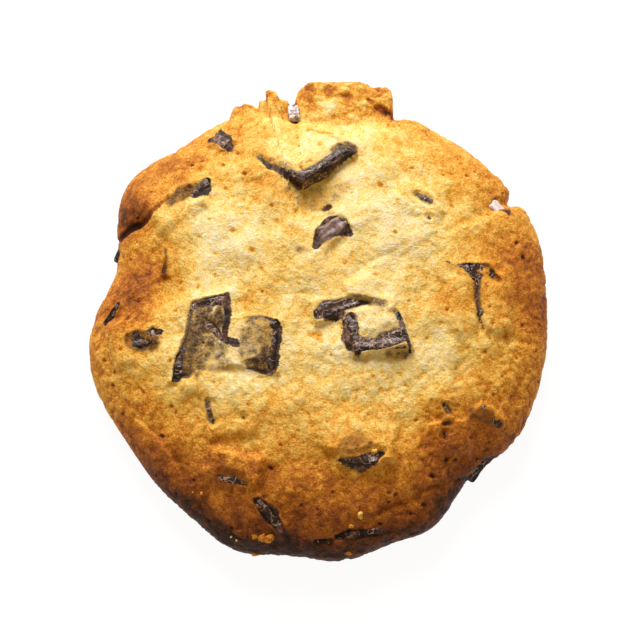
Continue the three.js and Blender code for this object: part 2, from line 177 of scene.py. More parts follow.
# Bare chocolate in the top: strokes of places with half widths
BANDS = {
    "chunk_ridge": [
        [(-10.7, 27.6, 0.2), (-8.7, 25.4, 0.45), (-5.9, 23.7, 0.6), (-3.6, 22.5, 0.95)],
        [(-3.6, 22.4, 1), (-0.8, 24, 1.1), (1.8, 25.8, 1.2), (4.6, 27.8, 1.15), (6.2, 28.3, 0.5)],
    ],
    "chunk_wedge": [
        [(-0.9, 10.6, 0.43), (0.3, 12.6, 1.2), (2, 14.2, 1.88), (3.7, 13.8, 1.37), (5.1, 13.1, 0.6)],
    ],
    "chunk_upper_left": [
        [(-17.4, 33.7, 0.51), (-16.9, 31.6, 1.37), (-15.9, 29.8, 0.86)],
        [(-19.7, 31.5, 0.31), (-18.3, 31.4, 0.51)],
    ],
    "chunk_crease": [
        [(-19.7, 22.9, 0.6), (-20.2, 21.4, 1.1), (-21.6, 20.4, 0.5)],
    ],
    "chunk_left_sliver": [
        [(-27, 7.4, 0.1), (-26.9, 6.5, 0.1)],
    ],
    "chunk_left_slit": [
        [(-35, 1.5, 0.31), (-36.1, -0.6, 0.48), (-37, -2, 0.26)],
    ],
    "chunk_mottled": [
        [(-28.6, -4.2, 0.6), (-27.4, -4.2, 0.6)],
        [(-31.7, -5.1, 0.68), (-30.6, -6.4, 0.86), (-29.1, -6.4, 0.51)],
    ],
    "chunk_slab": [
        [(-21.4, 0.1, 0.6), (-19.2, 0.5, 0.65), (-16.9, 1.2, 0.7)],
        [(-16, 1.6, 0.7), (-15.8, -0.9, 0.6), (-16.1, -3.6, 0.6), (-16.3, -5.7, 0.65)],
        [(-18.9, -2.9, 0.35), (-17.6, -4.6, 0.55), (-16.1, -6.3, 0.7), (-14.6, -7, 0.85)],
        [(-22, 0.5, 0.02), (-22.5, -3.4, 0.06), (-23.2, -6.9, 0.2), (-24.2, -9.8, 0.6),
         (-24.7, -12.4, 0.85)],
        [(-23.6, -12, 0.4), (-22.4, -12.2, 0.15)],
    ],
    "chunk_pane": [
        [(-7.7, -3, 0.4), (-7.1, -4.3, 0.65), (-7.2, -7.3, 0.6), (-7.6, -10.2, 0.8), (-8.2, -11.4, 0.6)],
        [(-12, -2.3, 0.14), (-9.8, -2.3, 0.21), (-8.2, -2.6, 0.34)],
        [(-12.1, -11.3, 0.14), (-10.3, -11.6, 0.27), (-8.5, -12, 0.43)],
    ],
    "chunk_block": [
        [(5.4, -2.2, 0.7), (4.9, -3.6, 1.2), (5, -5.6, 1.5), (5.8, -7.5, 1.1), (6.3, -8.9, 0.5)],
        [(5.1, -6.1, 1.03), (7.1, -7.2, 1.11), (9.5, -7.4, 0.86), (11.6, -6.5, 1.03), (14, -5.6, 1.03),
         (14.8, -6.1, 0.68)],
        [(13.3, -1.5, 0.17), (14.3, -3.6, 0.31), (15, -5.8, 0.43), (15.2, -8.2, 0.31)],
    ],
    "chunk_shadow": [
        [(-0.2, -1.7, 0.86), (1.7, -0.5, 1.37), (3.8, -0.1, 1.03), (5.5, 0.1, 0.6), (8.2, 0.2, 0.26)],
        [(1.4, -2.2, 0.68), (3.6, -1.9, 0.77)],
    ],
    "chunk_tee": [
        [(21.7, 7.8, 0.02), (23.7, 7.7, 0.08), (26.2, 7.4, 0.4), (28.1, 7.4, 0.2), (28.9, 7.2, 0.02)],
        [(24.8, 7.3, 0.1), (26.5, 6.6, 0.5), (27, 5.1, 0.3)],
        [(27, 5.1, 0.28), (27.1, 1.3, 0.14), (27.3, -1.3, 0.16), (27.9, -4, 0.02)],
        [(29.5, 5.9, 0.02), (30.7, 4.8, 0.04)],
    ],
    "chunk_upper_right": [
        [(17.2, 20.1, 0.15), (18.2, 19.4, 0.22), (19.2, 18.6, 0.14)],
        [(18.7, 15.9, 0.21), (18.9, 15.8, 0.2)],
    ],
    "chunk_lower_wedge": [
        [(2.7, -27, 0.21), (4.7, -27.5, 0.6), (6.9, -27.8, 1.2), (8.8, -27, 1.03), (10.5, -25.9, 0.34)],
    ],
    "chunk_streak": [
        [(-10.9, -33.5, 0.5), (-9.5, -34.4, 0.9), (-8.2, -35.7, 1.2), (-7.2, -37.2, 0.8),
         (-6.6, -38.3, 0.3)],
    ],
    "chunk_lower_left": [
        [(-17.1, -29.3, 0.1), (-15.9, -30.1, 0.22), (-14.2, -30.6, 0.2), (-12.5, -30.9, 0.08)],
    ],
    "chunk_flecked": [
        [(21, -17, 0.12), (21.9, -18.1, 0.2)],
        [(21.2, -20.3, 0.14), (22, -20.2, 0.12)],
        [(21.4, -21.6, 0.1), (21.2, -22.6, 0.05)],
    ],
    "chunk_right": [
        [(29.4, -19.8, 0.1), (30.5, -20.1, 0.12)],
    ],
    "chunk_ghost": [
        [(-19.3, -17.1, 0.15), (-18.8, -18.8, 0.19), (-18.2, -20.5, 0.14)],
        [(-13.2, -19.4, 0.17), (-13.1, -19.6, 0.17)],
    ],
}

# Bare chocolate in the side: strokes of places in space with half widths
SIDE_BANDS = [
    [(25.2, -29, 5, 0.8), (27.4, -27.6, 5, 1.6), (29.4, -26.2, 5.2, 1.4), (31.2, -24.8, 5.4, 0.7)],
    [(-0.7, -40.1, 8.2, 0.3), (1.8, -40, 8.5, 0.4)],
    [(3, -39.4, 8.7, 0.4), (5.1, -39, 8.7, 0.8), (7.6, -38.9, 8.2, 0.6), (11.9, -38.3, 7.4, 0.15)],
    [(-35.9, 14, 5, 0.4), (-36.3, 12, 5, 0.6), (-36.8, 10, 5, 0.4)],
    [(30, 20.3, 9.7, 0.3), (31.4, 20.4, 9, 0.9), (32.6, 19.2, 8.8, 0.8), (33.2, 17.9, 9, 0.3)],
    [(-4.5, 35.4, 7, 0.7), (-4.7, 37.2, 6.4, 0.9), (-4.9, 39.2, 5.2, 0.9)],
]
SIDE_DEPTH = 0.5

# Dough so thin that chocolate shows through it: how strongly, and strokes of places with half widths. Two
# strokes are painted shade instead: the hollow below the ridge chunk and the hole between it and the wedge
FILMS_AND_SHADE = [
    (1.1, [(-20, -0.9, 1.6), (-20.6, -3.6, 1.7), (-18.2, -3, 1.5)]),
    (1.1, [(-21.6, -4, 1.4), (-22.4, -8, 1.5), (-23, -11.2, 1.3)]),
    (0.8, [(-19.6, -6, 1.9), (-20.6, -8.6, 2), (-21, -11.2, 1.3)]),
    (0.6, [(-17, -7.6, 1.4), (-18, -10.4, 1.6), (-16, -10.6, 1.2)]),
    (1.2, [(-17.1, -0.6, 0.5), (-17.4, -2.6, 1.2)]),
    (1.2, [(-11.6, -10.6, 1.2), (-9.6, -10.2, 1.7), (-8.9, -8.4, 1.3)]),
    (0.75, [(-11.6, -3.2, 1.3), (-9.4, -4, 1.6), (-9.2, -6.6, 1.5)]),
    (0.65, [(-12.1, -5.4, 1.8), (-12.2, -9.2, 2)]),
    (0.5, [(-10.6, -5.6, 1.6), (-10.8, -7.6, 1.6)]),
    (0.8, [(4.1, -0.2, 1.2), (7.2, 0.9, 1.1), (10.9, 0.4, 0.9)]),
    (0.5, [(13, -2.3, 0.6), (14, -4.7, 0.7)]),
    (0.65, [(11.9, -8.3, 0.9), (14.3, -8.6, 1)]),
    (0.5, [(5.1, -9, 0.7), (7.1, -9.7, 0.7)]),
    (1.2, [(2.6, 28.6, 1), (4.4, 29.3, 1.6), (5.9, 29.1, 1)]),
    # Painted shade: an olive tint over the hollow below the ridge chunk
    (0.5, [(-4.7, 21.1, 1.6), (-1.7, 19.8, 2.4), (1.7, 20.2, 2), (4.3, 21.8, 1.2)]),
    # Painted shadow: a dark tint in the hole between the ridge chunk and the wedge
    (3, [(0.7, 17.9, 0.25), (1.5, 18.2, 0.36)]),
    (0.5, [(-1.4, 33.2, 0.2), (2.3, 32, 0.6), (4.2, 30.2, 0.8)]),
    (0.6, [(-10.4, 27.6, 0.8), (-7.6, 25.9, 1.1), (-5.4, 24.6, 0.9)]),
    (0.6, [(-3.8, 9.8, 0.8), (-1.9, 10.2, 0.7)]),
    (0.35, [(-0.9, 7.6, 1), (1.7, 9.4, 0.8)]),
    (0.5, [(1.7, 16.7, 0.7), (3.8, 15.4, 0.7)]),
    (0.5, [(-0.3, 17.5, 0.5), (1.4, 17.9, 0.5)]),
    (0.85, [(-31.9, -5.5, 1.8), (-29.1, -6, 1.9)]),
    (0.95, [(-25.9, 19.4, 1), (-24, 20.5, 1.6), (-21.8, 21.6, 1.2)]),
    (0.4, [(-25.1, 21.9, 0.2), (-23.5, 23.5, 0.3), (-21.4, 24.1, 0.3)]),
    (1.2, [(-26.9, 10.8, 0.2), (-26.7, 8.6, 0.3), (-26.9, 6.8, 0.5), (-26.9, 5.6, 0.2)]),
    (0.5, [(3.4, -26, 0.8), (6.4, -25.1, 1), (9.5, -24.7, 0.6)]),
    (0.4, [(-19.9, -16.7, 0.9), (-18.3, -19.8, 1.2)]),
    (0.35, [(-14.9, -16.5, 0.8), (-13.6, -17.9, 0.7)]),
    (0.75, [(26.4, -18.4, 1.2), (29, -19.2, 1.3)]),
    (1.2, [(28.9, -19.6, 0.3), (30.5, -19.9, 0.6)]),
    (0.55, [(-16.6, -28.2, 1), (-13.8, -29.6, 1.1)]),
    (0.5, [(16.8, 20.5, 0.6), (18.5, 19.4, 0.9), (19.6, 18.3, 0.5)]),
    (0.35, [(23.5, -9.7, 0.6), (22.4, -16.3, 0.7), (21.6, -23.6, 0.6)]),
    (0.4, [(22.7, 6.8, 0.8), (25.5, 6.6, 0.9)]),
    (0.3, [(28, 3.1, 0.6), (28.3, -2.2, 0.6)]),
    (0.4, [(20.9, -17.2, 0.7), (21.4, -19.6, 0.8), (20.4, -21.7, 0.7)]),
    (0.5, [(-19.7, 31.6, 0.7), (-18.2, 30, 0.8)]),
    (0.8, [(-6.6, -38, 0.9), (-5.2, -39.8, 0.6)]),
    (0.9, [(-16.6, -29.6, 0.3), (-14.2, -30.6, 0.4), (-12.6, -30.8, 0.2)]),
    (0.6, [(3.4, -24.9, 0.9), (6.6, -23.3, 1.4), (8.4, -24.6, 0.8)]),
]

# Furrows and holes of the crust: strokes of places with half widths. Their browning is partly painted
# shade, as in the far left crease, the pocket at the far edge, the hole between the ridge chunk and the
# wedge, and the hollow left of the block
GROOVES = [
    [(29.5, 6.8, 0.14), (30.3, 5.6, 0.21), (30.8, 5.3, 0.17)],
    [(-2.3, 33, 0.14), (0, 33.5, 0.17), (1.8, 32.8, 0.14)],
    [(0.5, 18, 0.25), (1.2, 18.1, 0.45), (1.7, 18.3, 0.26)],
    [(8.7, 40, 0.3), (10.8, 38.6, 0.6), (13, 37.2, 0.5)],
    [(-2, -4.8, 0.26), (-0.5, -5.3, 0.86), (0.3, -6.4, 0.34)],
    [(-35.4, 14.2, 0.5), (-33.1, 15.4, 0.5), (-30.1, 16.7, 0.4), (-28.3, 18.2, 0.3), (-26.6, 20.1, 0.2)],
]
GROOVE_DEPTH = 0.25

# Larger pits of the crust: place and radius
PITS = [
    (-8.5, -28.2, 0.44), (-12.6, -25.4, 0.24), (-25.6, -17, 0.34), (-27.3, -21.8, 0.41),
    (-37.2, -8.5, 0.26), (-35.9, -12.6, 0.26), (10.2, 22, 0.51), (12.8, 13, 0.6),
    (34.3, 12.5, 0.43), (35.6, 10, 0.41), (29.3, 17.6, 0.31), (15.8, 6.8, 0.34),
    (-15, 13.6, 0.43), (-18, 9.5, 0.24), (-11.7, 9.8, 0.68), (-17.1, 26.3, 0.34),
    (-13.2, 24.1, 0.68), (-8.4, 17.9, 0.51), (-0.2, 29.8, 0.26), (19.1, -29, 0.6),
    (17.6, -33.6, 0.56), (11.7, -32.1, 0.34), (10.1, -37.1, 0.34), (34.8, -2.4, 0.26),
    (18.2, -5.5, 0.24), (9.1, -12.3, 0.26), (-9.9, 2.3, 0.38), (-3.8, 3.9, 0.34),
    (4.3, 7.6, 0.31), (-5, 8.4, 0.27), (21.6, -0.7, 0.26), (-20.9, 12.6, 0.34),
    (16, 25.3, 0.34), (22.9, 18.5, 0.38), (25.7, 24.7, 0.34), (-31.8, -1.6, 0.27),
    (-34.3, -7.3, 0.27),
]

# Loose crumbs: place, radius and bake
CRUMBS = [
    (-20.1, -31.9, 9.2, 0.45, 0.46), (-21.6, -31.6, 8.7, 0.2, 0.46), (-15.1, -39, 7, 0.35, 0.3),
    (-14.2, -39.5, 6.9, 0.3, 0.3), (-11, -41.4, 4.5, 0.5, 0.55), (9.2, -25.5, 13.4, 0.5, 0.42),
    (6.8, -35.9, 10.2, 0.7, 0.44), (5.3, -37.6, 9.6, 0.35, 0.48), (4.7, -41.4, 6.2, 0.6, 0.6),
    (-9.9, -39.2, 8, 1.1, 0.62), (-8.7, -39.4, 7.9, 0.8, 0.6), (-11.2, -39, 7.9, 0.6, 0.62),
]

# Uneven baking: place, radius and how much browner (or paler) than the ring it lies in. Two patches are
# painted shade: in the hollow below the ridge chunk and in the far left crease
BAKE_AND_SHADE_PATCHES = [
    # The patch at (0.0, 20.5) is painted shade in the hollow below the ridge chunk
    (-30, 3, 7, 0.2), (-35, 1, 5, 0.16), (-12, -28, 7, 0.04), (0.0, 20.5, 4, 0.06),
    # The patch at (-33.5, 16.4) is painted shade in the far left crease
    (-34, 21, 5, 0.24), (-33.5, 16.4, 2.6, 0.2), (-33, 9, 4, -0.04), (40, -4, 5, 0.14),
    (39, 8, 5, 0.1), (-14, 31, 5, 0.06), (-9, 22, 4, 0.2), (33, 8, 6, 0.18), (22, 1.5, 4, 0.2),
    (22, -25, 6, 0.06), (-11, 1, 4.5, 0.14), (8, 15, 7, -0.05), (4, 33, 7, -0.11),
    (14, 29, 7, -0.04), (27, 8, 6, 0.08), (-28, 8, 5, 0.08), (-6, 16, 6, 0.06), (5, 5, 7, 0.07),
    (17, -2, 5, 0.07), (-9, 34.5, 5, -0.1), (36, 2, 5, 0.12), (-17, 14, 6, -0.08),
    (3, -10, 5, -0.05), (-12, -12.5, 4, -0.08), (-32, -14, 9, -0.06), (-27, 27, 6, 0.13),
    (18, -10, 6, -0.02), (-4, -32, 12, 0.04), (20, -18, 7, 0.05), (-8, -41, 7, 0.08),
    (8, -40, 7, 0.08), (20, -34, 6, 0.06),
]

# Crust colours from 0 to 255, from pale dough to burnt
BAKE_STOPS = [
    (0.0, (255, 241, 216)), (0.16, (255, 231, 181)), (0.32, (250, 213, 121)),
    (0.48, (237, 171, 58)), (0.62, (204, 124, 25)), (0.76, (158, 83, 11)), (0.9, (102, 50, 8)),
    (1.0, (56, 25, 6)),
]

# What a film of dough over chocolate leaves of the crust's colour, from thick to thin
FILM_STOPS = [
    (0.1, (238, 229, 216)), (0.35, (190, 181, 172)), (0.6, (132, 118, 112)), (0.85, (72, 56, 53)),
]

# Chocolate colours: plain, its palest tones partly painted highlights; on a broken facet, painted lighter
# where light falls; a painted glare; and the painted shade of its cracks and its painted glints
# The palest plain chocolate tones, scattered by noise, are partly painted highlights
DARK_STOPS = [
    (0.25, (20, 9, 7)), (0.45, (50, 27, 20)), (0.6, (92, 60, 49)), (0.8, (148, 112, 100)),
]
# Painted light: lighter chocolate colours for the wedge's broken facet, as where the light falls on it
PAINTED_LIT_FACET_STOPS = [
    (0.25, (82, 55, 49)), (0.5, (130, 101, 93)), (0.75, (176, 147, 136)),
]
# Painted glare: pale lilac-grey colours standing in for the light reflected off the chocolate
PAINTED_GLARE_STOPS = [
    (0.28, (76, 52, 50)), (0.38, (190, 170, 172)), (0.6, (240, 228, 230)),
]
# Colour of the painted shade in hairline cracks
CRACK_SHADE_COLOUR = (20, 9, 7)
# Colour of painted glints, thin highlight lines
PAINTED_GLINT_COLOUR = (205, 172, 162)

# Looks of the chocolate: colours, how crinkled, smoothest and roughest parts, and gloss
LOOKS = {
    "dark": (DARK_STOPS, 0.8, 0.25, 0.45, 0.5),
    "dull": (DARK_STOPS, 0.7, 0.55, 0.75, 0.2),
    "painted_lit_facet": (PAINTED_LIT_FACET_STOPS, 0.3, 0.3, 0.5, 0.5),
    "painted_glare": (PAINTED_GLARE_STOPS, 0.5, 0.6, 0.85, 0.12),
}
CHUNK_LOOKS = {
    # The wedge is coloured with the painted light of a lit facet
    "chunk_wedge": "painted_lit_facet",
    "chunk_edge_left": "dull",
    # The notch and far chunks are coloured with the painted glare
    "chunk_edge_notch": "painted_glare",
    "chunk_edge_lower_right": "dull",
    "chunk_edge_low_left": "dull",
    "chunk_edge_low_right": "dull",
    "chunk_edge_far": "painted_glare",
}

# Sizes of the grains that colour and roughen the crust
FINE_GRAIN = 0.35
COARSE_GRAIN = 1.1

# How the dough lies round bare chocolate: how far its edge wanders (height and size of each noise),
# how deep it dips, how far and gently its lips rise, how uneven the skin is, and how strong, wide
# and soft the films are
WANDER = [(0.1, 0.9), (0.24, 2.4)]
BAND_DEPTH = 0.3
LIP_REACH = 1.5
LIP_EASE = 0.6
SKIN_UNEVEN = 0.5
EDGE_FILM = 0.9
EDGE_FILM_WIDTH = 0.9
SIDE_FILM = 0.3
FILM_SOFTNESS = 1.2

# Lumps of the crust, where and how far they bubbled up higher, and the crevices between them
LUMP_SIZE = 2.4
LUMP_HEIGHT = 0.08
BUBBLED_AT = (0.0, -13.0)
BUBBLED_SPREAD = (14.0, 11.0)
BUBBLED_HEIGHT = 0.12
CREVICE_DEPTH = 0.12
CREVICE_WIDTH = 0.28

# Crumb and swelling of the torn crust past the dome, and roughness and grains everywhere
CRUMB_SIZE = 1.1
CRUMB_HEIGHT = 0.5
CRAG_HEIGHT = 0.24
ROUGHNESS = 0.09
GRAINS = [(0.09, 0.8), (0.08, 0.45)]

# Small pits: how far apart, the share of places without one, and how deep
PIT_SPACING = 2.1
PIT_FREE = 0.6
PIT_DEPTH = 0.3

# How far the fine relief is drawn in, and from where outward bumps of the side are folded in
DRAWN_IN = 0.14
SIDE_LIMIT = 0.06
SIDE_FOLD = 0.4

# Browning of the crust: everywhere, and as (from, over how far, how much) by how far out it lies, how
# near, how far past the dome, and how far below the rim. The near rim's extra darkening is partly browning
# and partly painted shade; rises are painted paler and hollows browner as painted shade; pits and furrows
# are browner, partly browning and partly painted shade
BASE_BROWN = 0.15
RIM_BROWN = (0.5, 0.5, 0.28)
NEAR_BROWN = (4.0, 28.0, 0.22)
FLAP_BROWN = (0.0, 1.2, 0.03)
# Extra darkening of the near rim, partly browning and partly painted shade
NEAR_RIM_BROWN_AND_SHADE = (0.9, 0.1, 0.2)
NEAR_RIM_REACH = (16.0, 18.0, 1.0)
FOOT_BROWN = (0.0, 3.0, 0.12)
BROWN_NOISE = [(0.05, 8.0), (0.05, 3.0)]
# Painted shade: how much browner hollows and paler rises are by their depth
PAINTED_SHADE_BY_DEPTH = 0.6
# How much browner pits and furrows are, partly browning and partly painted shade
PITS_BROWNED_AND_SHADED = 0.16

# Distances that stand for nothing being near
FAR = 9.0
NO_EDGE = 3.0

# Sky, light and camera. The light's and the floor's sizes are in metres, the light's power in watts
SKY_COLOUR = (1, 0.83, 0.46, 1)
SKY_STRENGTH = 0.36
KEY_LIGHT = dict(azimuth=99, elevation=36, distance=0.8, size=0.5, power=7.8)
CAMERA_ELEVATION = 75
CAMERA_DISTANCE = 465
CAMERA_LENS = 150
SENSOR_WIDTH = 36
AIM_NEARER = 0.27
AIM_HEIGHT = 5.0
FLOOR_HALF = 3.0
FLOOR_GLOW = 0.94

# The floor lies a hair under the cookie, in metres
FLOOR_LEVEL = -0.00002

# How the meshes are divided: rings of the dough, points that each ring has more than the one inside
# it, and the blocks' step
TOP_RINGS = 160
RING_SPREAD = 1.3
WALL_LEVELS = 14
BASE_RINGS = 40
RING_STEP = 6
BLOCK_STEP = 0.32

# The blocks' surface: how far inside the chunk it starts and how far it is sunk and shrunk, how
# round its edges are, its dents and crinkles, its lowest point, and how far apart blocks draw noise
BLOCK_INSET = 0.4
BLOCK_SINK = 0.06
BLOCK_SHRINK = 0.1
BLOCK_ROUND = 0.7
BLOCK_ROUND_SHARE = 0.45
BLOCK_DENTS = [(0.12, 2.2), (0.06, 0.9)]
BLOCK_CRINKLE = 0.16
BLOCK_LOWEST = 0.3
BLOCK_APART = 17.0


def turn_apart(a, b):
    return (a - b + 180) % 360 - 180


def fade_in(value):
    value = np.clip(value, 0, 1)
    return value * value * (3 - 2 * value)


def angle_of(x, y):
    return np.degrees(np.arctan2(y, x))


def dome_edge(deg):
    bulges = sum(out * np.exp(-((turn_apart(deg, at) / width) ** 2)) for at, width, out in LOBES)
    return DOME_RADIUS + bulges


def ledge_reach(deg):
    reach = np.zeros_like(np.asarray(deg, dtype=float))
    for at, width, out, squareness in LEDGES:
        reach = np.maximum(reach, out * np.exp(-(np.abs(turn_apart(deg, at) / width) ** squareness)))
    return reach


def rim_edge(deg):
    return dome_edge(deg) + ledge_reach(deg)


def dome_height(x, y):
    reach = np.minimum(1, np.hypot(x, y) / dome_edge(angle_of(x, y)))
    return RIM_HEIGHT + (TOP_HEIGHT - RIM_HEIGHT) * (1 - reach**DOME_FLATNESS) ** (1 / DOME_ROUNDNESS)


def ledge_height(x, y):
    deg = angle_of(x, y)
    reach = ledge_reach(deg)
    past = np.clip((np.hypot(x, y) - dome_edge(deg)) / np.maximum(reach, 0.01), 0, 1)
    return RIM_HEIGHT + LEDGE_HEIGHT * fade_in(reach / 2) * np.sqrt(1 - past**3)


def crease_drop(x, y, start, end, bow, depth, fall):
    run_x, run_y = end[0] - start[0], end[1] - start[1]
    length = math.hypot(run_x, run_y)
    along = ((x - start[0]) * run_x + (y - start[1]) * run_y) / length**2
    across = ((y - start[1]) * run_x - (x - start[0]) * run_y) / length
    off = across - bow * 4 * along * (1 - along)
    taper = fade_in(along * 6) * fade_in((1 - along) * 3)
    side = np.where(off > 0, np.exp(-np.maximum(off, 0) / fall), np.exp(np.minimum(off, 0) / CREASE_LIP))
    return depth * taper * side * ((along > 0) & (along < 1))


def relief(x, y):
    height = np.zeros_like(x)
    for (at_x, at_y), radius, rise in SWELLS:
        height = height + rise * np.exp(-((x - at_x) ** 2 + (y - at_y) ** 2) / radius**2)
    for crease in CREASES:
        height = height - crease_drop(x, y, *crease)
    for turn, length, swing, phase in RIPPLES:
        along = x * math.cos(math.radians(turn)) + y * math.sin(math.radians(turn))
        height = height + swing * np.sin(2 * math.pi * along / length + phase)
    return height


def bare_height(x, y):
    reach = np.minimum(1, np.hypot(x, y) / rim_edge(angle_of(x, y)))
    body = np.maximum(dome_height(x, y), ledge_height(x, y))
    return body + relief(x, y) * (1 - reach**RELIEF_FADE)


class Face:
    """Plane of a top chunk's upper face and the directions of its length and width."""

    def __init__(self, at, size, turn, rise, skin, skew=0, taper=0, tip=(0, 0), covers=()):
        self.x, self.y = at
        self.size, self.skin, self.covers = size, skin, covers
        self.lean, self.taper = math.tan(math.radians(skew)), taper
        self.cos, self.sin = math.cos(math.radians(turn)), math.sin(math.radians(turn))
        step = SLOPE_STEP
        slope_x = (dome_height(self.x + step, self.y) - dome_height(self.x - step, self.y)) / (2 * step)
        slope_y = (dome_height(self.x, self.y + step) - dome_height(self.x, self.y - step)) / (2 * step)
        self.z = float(bare_height(np.array([self.x]), np.array([self.y]))[0]) + rise
        self.slope_x = float(slope_x) + tip[0] * self.cos - tip[1] * self.sin
        self.slope_y = float(slope_y) + tip[0] * self.sin + tip[1] * self.cos

    def local(self, x, y):
        dx, dy = x - self.x, y - self.y
        return dx * self.cos + dy * self.sin, dy * self.cos - dx * self.sin

    def plane(self, x, y):
        return self.z + self.slope_x * (x - self.x) + self.slope_y * (y - self.y)

    def inside(self, u, v):
        """Distance inside the face's outline, negative outside."""
        half_u, half_v = self.size[0] / 2, self.size[1] / 2
        width = half_v * (1 - self.taper * np.clip(u / half_u, -1.2, 1.2))
        return np.minimum(half_u - np.abs(u - self.lean * v), width - np.abs(v))

    def seat(self):
        up = Vector((-self.slope_x, -self.slope_y, 1)).normalized()
        slope = self.slope_x * self.cos + self.slope_y * self.sin
        length = Vector((self.cos, self.sin, slope)).normalized()
        return seat_matrix(length, up.cross(length), up, Vector((self.x, self.y, self.z)))


def seat_matrix(length, width, up, place):
    turned = Matrix((length, width, up)).transposed().to_4x4()
    return Matrix.Translation(place) @ turned


def edge_seat(chunk):
    """Place and turn of the outer face of a chunk in the side."""
    around, lift = math.radians(chunk["deg"]), math.radians(chunk["facing"])
    out = Vector((math.cos(around) * math.cos(lift), math.sin(around) * math.cos(lift), math.sin(lift)))
    side = Vector((-math.sin(around), math.cos(around), 0))
    side.rotate(Matrix.Rotation(math.radians(chunk["turn"]), 3, out))
    height = chunk["height"]
    drop = 1 - ((height - RIM_HEIGHT) / (TOP_HEIGHT - RIM_HEIGHT)) ** DOME_ROUNDNESS
    radius = float(dome_edge(chunk["deg"])) * drop ** (1 / DOME_FLATNESS)
    place = Vector((radius * math.cos(around), radius * math.sin(around), height)) - out * chunk["sunk"]
    return seat_matrix(side, out.cross(side), out, place)


FACES = {name: Face(**chunk) for name, chunk in TOP_CHUNKS.items()}


def lattice(cells, seed):
    """Repeatable random values from 0 to 1 for whole-numbered cells."""
    x, y, z = (cells[..., axis].astype(np.int64) for axis in range(3))
    mixed = (x * 374761393 + y * 668265263 + z * 1440662683 + seed * 1274126177) & 0xFFFFFFFF
    mixed = ((mixed ^ (mixed >> 13)) * 1103515245) & 0xFFFFFFFF
    mixed = ((mixed ^ (mixed >> 16)) * 1597334677) & 0xFFFFFFFF
    return ((mixed ^ (mixed >> 15)) & 0xFFFFFF) / 0xFFFFFF


def soft_noise(points, size, seed):
    """Smooth noise from -1 to 1 with bumps of about the given size."""
    scaled = points / size
    base = np.floor(scaled)
    part = scaled - base
    part = part * part * (3 - 2 * part)
    total = np.zeros(len(points))
    for corner in itertools.product((0, 1), repeat=3):
        weight = np.prod(np.where(corner, part, 1 - part), axis=1)
        total += weight * lattice(base + corner, seed)
    return 2 * total - 1


def cell_noise(points, size, seed):
    """Distances to the nearest and second nearest scattered points, and a value for the nearest."""
    scaled = points / size
    base = np.floor(scaled)
    first = np.full(len(points), FAR)
    second = np.full(len(points), FAR)
    owner = np.zeros(len(points))
    for offset in itertools.product((-1, 0, 1), repeat=3):
        cell = base + offset
        spot = cell + np.stack([lattice(cell, seed + axis) for axis in range(3)], axis=1)
        gap = np.linalg.norm(scaled - spot, axis=1)
        closer = gap < first
        second = np.where(closer, first, np.minimum(second, gap))
        owner = np.where(closer, lattice(cell, seed + 3), owner)
        first = np.where(closer, gap, first)
    return first, second, owner


def past_stretch(place, low, high, half_face):
    """How far a place lies past a stretch, in widths of the slope there."""
    low_width = MOUND_SOFTNESS if abs(low) > half_face else LIP_SOFTNESS
    high_width = MOUND_SOFTNESS if abs(high) > half_face else LIP_SOFTNESS
    return np.maximum(0, np.maximum((low - place) / low_width, (place - high) / high_width))


def stroke_distance(x, y, strokes):
    """Distance to the edge of strokes of varying width, negative inside them."""
    nearest = np.full(len(x), FAR)
    for stroke in strokes:
        for (ax, ay, a_half), (bx, by, b_half) in zip(stroke, stroke[1:]):
            run_x, run_y = bx - ax, by - ay
            along = ((x - ax) * run_x + (y - ay) * run_y) / (run_x**2 + run_y**2)
            along = np.clip(along, 0, 1)
            gap = np.hypot(x - ax - along * run_x, y - ay - along * run_y)
            nearest = np.minimum(nearest, gap - a_half - along * (b_half - a_half))
    return nearest


def side_distance(points):
    """Distance to the edge of the side's strokes, negative inside them."""
    nearest = np.full(len(points), FAR)
    for stroke in SIDE_BANDS:
        for start, end in zip(stroke, stroke[1:]):
            run = np.subtract(end, start)
            along = np.clip((points - start[:3]) @ run[:3] / (run[:3] @ run[:3]), 0, 1)
            gap = np.linalg.norm(points - start[:3] - along[:, None] * run[:3], axis=1)
            nearest = np.minimum(nearest, gap - start[3] - along * run[3])
    return nearest


def layered_noise(points, layers, seed):
    """Sum of noises, each of its own height and size."""
    return sum(high * soft_noise(points, size, seed + step) for step, (high, size) in enumerate(layers))


